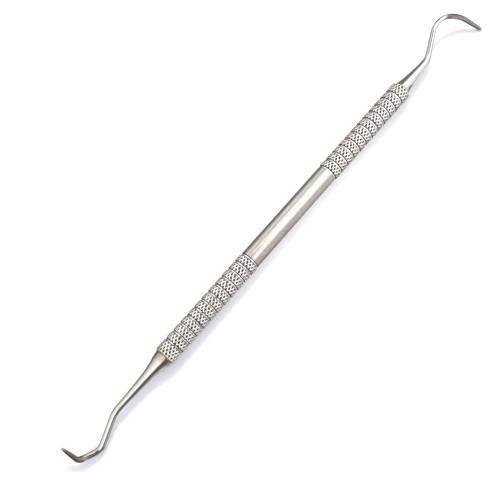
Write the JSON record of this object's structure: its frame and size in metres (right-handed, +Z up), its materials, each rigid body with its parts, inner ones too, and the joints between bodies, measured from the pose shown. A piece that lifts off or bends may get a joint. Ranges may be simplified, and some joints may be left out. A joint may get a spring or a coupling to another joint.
{
  "type": "dental explorer",
  "caption": "Double-ended dental hand instrument: a knurled tubular steel handle with a curved sickle end and a contra-angled end.",
  "frame": {"origin": "on the surface the instrument lies on, under the middle of the handle", "axes": "+X along the handle's axis towards the sickle end, +Z up, -Y the side that the sickle blade points to; the blade of the angled end points to +Y"},
  "size_m": [0.1673, 0.0111, 0.006],
  "materials": {
    "knurled_steel": "stainless steel, diamond knurled with ring grooves, polished smooth along the waist",
    "polished_steel": "mirror-polished stainless steel, blade faces ground",
    "tempered_steel": "polished stainless steel with a faint brown heat tint towards the blade",
    "braze_filler": "dull straw-coloured braze fillet"
  },
  "bodies": {
    "root": {"handle_barrel": "knurled_steel", "sickle_tip": "polished_steel", "angled_tip": "tempered_steel", "sickle_braze_ring": "braze_filler", "angled_braze_ring": "braze_filler"}
  },
  "joints": []
}
